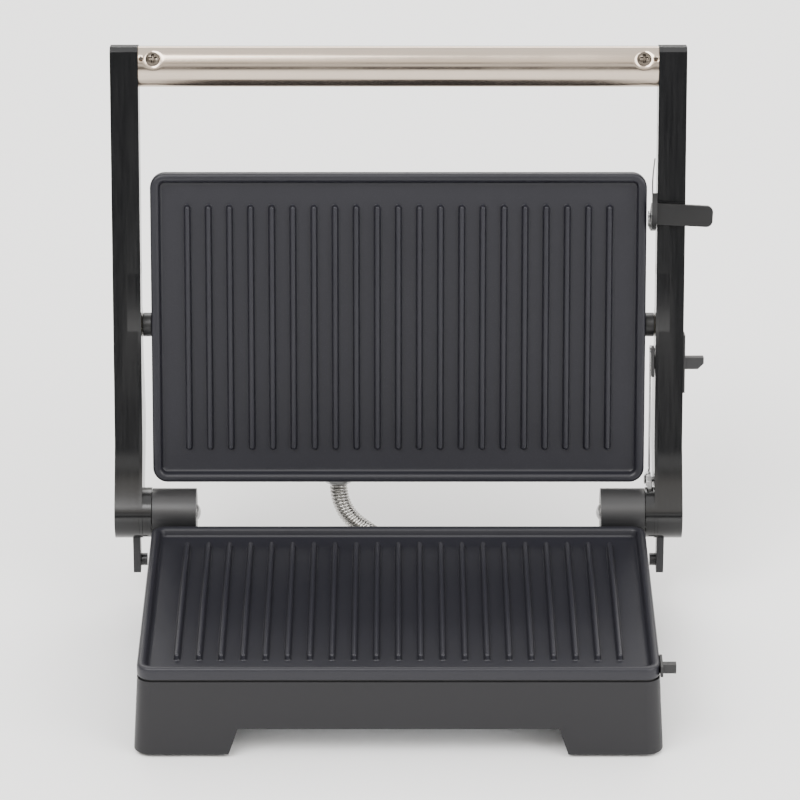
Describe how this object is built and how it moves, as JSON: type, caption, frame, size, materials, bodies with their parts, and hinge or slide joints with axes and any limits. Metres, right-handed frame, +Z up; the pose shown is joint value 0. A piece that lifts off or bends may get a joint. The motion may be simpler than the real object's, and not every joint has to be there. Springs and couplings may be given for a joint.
{
  "type": "panini press",
  "caption": "Contact grill with two ribbed non-stick plates, a floating upper press hung between black arms and a steel bar handle, shown open.",
  "frame": {"origin": "on the counter, midway between the sides of the grill plates and midway along them", "axes": "+X to the user's right, +Y towards the hinge at the back, +Z up"},
  "size_m": [0.2841, 0.2359, 0.264],
  "materials": {
    "charcoal_housing": "fine matt texture",
    "black_arm": "gloss",
    "nonstick_plate": "dark non-stick coating",
    "polished_handle": "smooth satin polish",
    "satin_bracket": "satin grey",
    "plain_steel": "as rolled",
    "dark_steel": "dark blued",
    "screw_steel": "bright",
    "zinc_sheet": "zinc coated",
    "shield_sheet": "plain rolled sheet",
    "heater_steel": "heat darkened",
    "coiled_steel": "bright drawn strip",
    "latch_steel": "satin dark grey",
    "black_plastic": "matt",
    "ivory_plastic": "matt",
    "black_rubber": "matt",
    "wire_sleeve": "woven glass sleeve",
    "red_lens": "clear gloss",
    "green_lens": "clear gloss"
  },
  "bodies": {
    "base": {"base_housing": "charcoal_housing", "bottom_cover": "zinc_sheet", "cover_screws": "screw_steel", "foot_pads": "black_rubber", "lower_grill_plate": "nonstick_plate", "lower_gasket": "black_rubber", "lower_heater": "heater_steel", "lower_heat_shield": "shield_sheet", "lower_plate_screws": "screw_steel", "thermostat": "ivory_plastic", "lower_thermal_fuse": "wire_sleeve", "terminal_block": "ivory_plastic", "base_wiring": "wire_sleeve", "left_hinge_bracket": "satin_bracket", "right_hinge_bracket": "satin_bracket", "hinge_bracket_screws": "screw_steel", "left_hinge_pin": "plain_steel", "right_hinge_pin": "plain_steel", "catch_tab": "plain_steel", "cord_gland": "black_plastic", "lower_conduit_gland": "plain_steel", "lower_conduit": "coiled_steel"},
    "arm_frame": {"left_arm_shell": "black_arm", "right_arm_shell": "black_arm", "left_arm_cover": "black_arm", "right_arm_cover": "black_arm", "left_arm_bar": "dark_steel", "right_arm_bar": "dark_steel", "left_hub_bush": "ivory_plastic", "right_hub_bush": "ivory_plastic", "left_pivot_bush": "ivory_plastic", "right_pivot_bush": "ivory_plastic", "arm_cover_screws": "screw_steel", "handle_tube": "polished_handle", "left_handle_insert": "black_plastic", "right_handle_insert": "black_plastic", "handle_screws": "screw_steel", "latch_pin": "plain_steel", "latch_spring": "plain_steel", "pawl_pin": "plain_steel"},
    "upper_press": {"upper_housing": "charcoal_housing", "upper_grill_plate": "nonstick_plate", "upper_gasket": "black_rubber", "upper_heater": "heater_steel", "upper_heat_shield": "shield_sheet", "upper_plate_screws": "screw_steel", "upper_thermal_fuse": "wire_sleeve", "left_trunnion": "black_plastic", "right_trunnion": "black_plastic", "tilt_springs": "plain_steel", "upper_conduit_gland": "plain_steel", "upper_conduit": "coiled_steel", "upper_wiring": "wire_sleeve", "power_lens": "red_lens", "ready_lens": "green_lens"},
    "latch": {"latch_lever": "latch_steel"},
    "release": {"release_slider": "black_plastic", "pull_wire": "plain_steel"},
    "stop_pawl": {"stop_pawl": "plain_steel"}
  },
  "joints": [
    {"name": "arm_hinge", "type": "hinge", "parent": "base", "child": "arm_frame", "pos_m": [0, 0.0895, 0.044], "axis": [-1, 0, 0], "range_deg": [-101, 79], "deforming": ["lower_conduit"]},
    {"name": "plate_tilt", "type": "hinge", "parent": "arm_frame", "child": "upper_press", "pos_m": [0, 0.11787, 0.12966], "axis": [1, 0, 0], "range_deg": [0, 18], "stiffness_Nm_per_rad": 0.6, "springref_deg": -22.92, "deforming": ["upper_conduit"]},
    {"name": "latch_swing", "type": "hinge", "parent": "arm_frame", "child": "latch", "pos_m": [0.1206, 0.12328, 0.18107], "axis": [1, 0, 0], "range_deg": [0, 15], "stiffness_Nm_per_rad": 0.05, "springref_deg": -22.92},
    {"name": "release_slide", "type": "slide", "parent": "arm_frame", "child": "release", "axis": [0, 0.1908, 0.9816], "range_m": [0, 0.004], "stiffness_N_per_m": 300, "springref_m": -0.004},
    {"name": "pawl_swing", "type": "hinge", "parent": "arm_frame", "child": "stop_pawl", "pos_m": [0.12025, 0.10523, 0.05419], "axis": [-1, 0, 0], "range_deg": [0, 12], "stiffness_Nm_per_rad": 0.02, "springref_deg": -22.92}
  ]
}
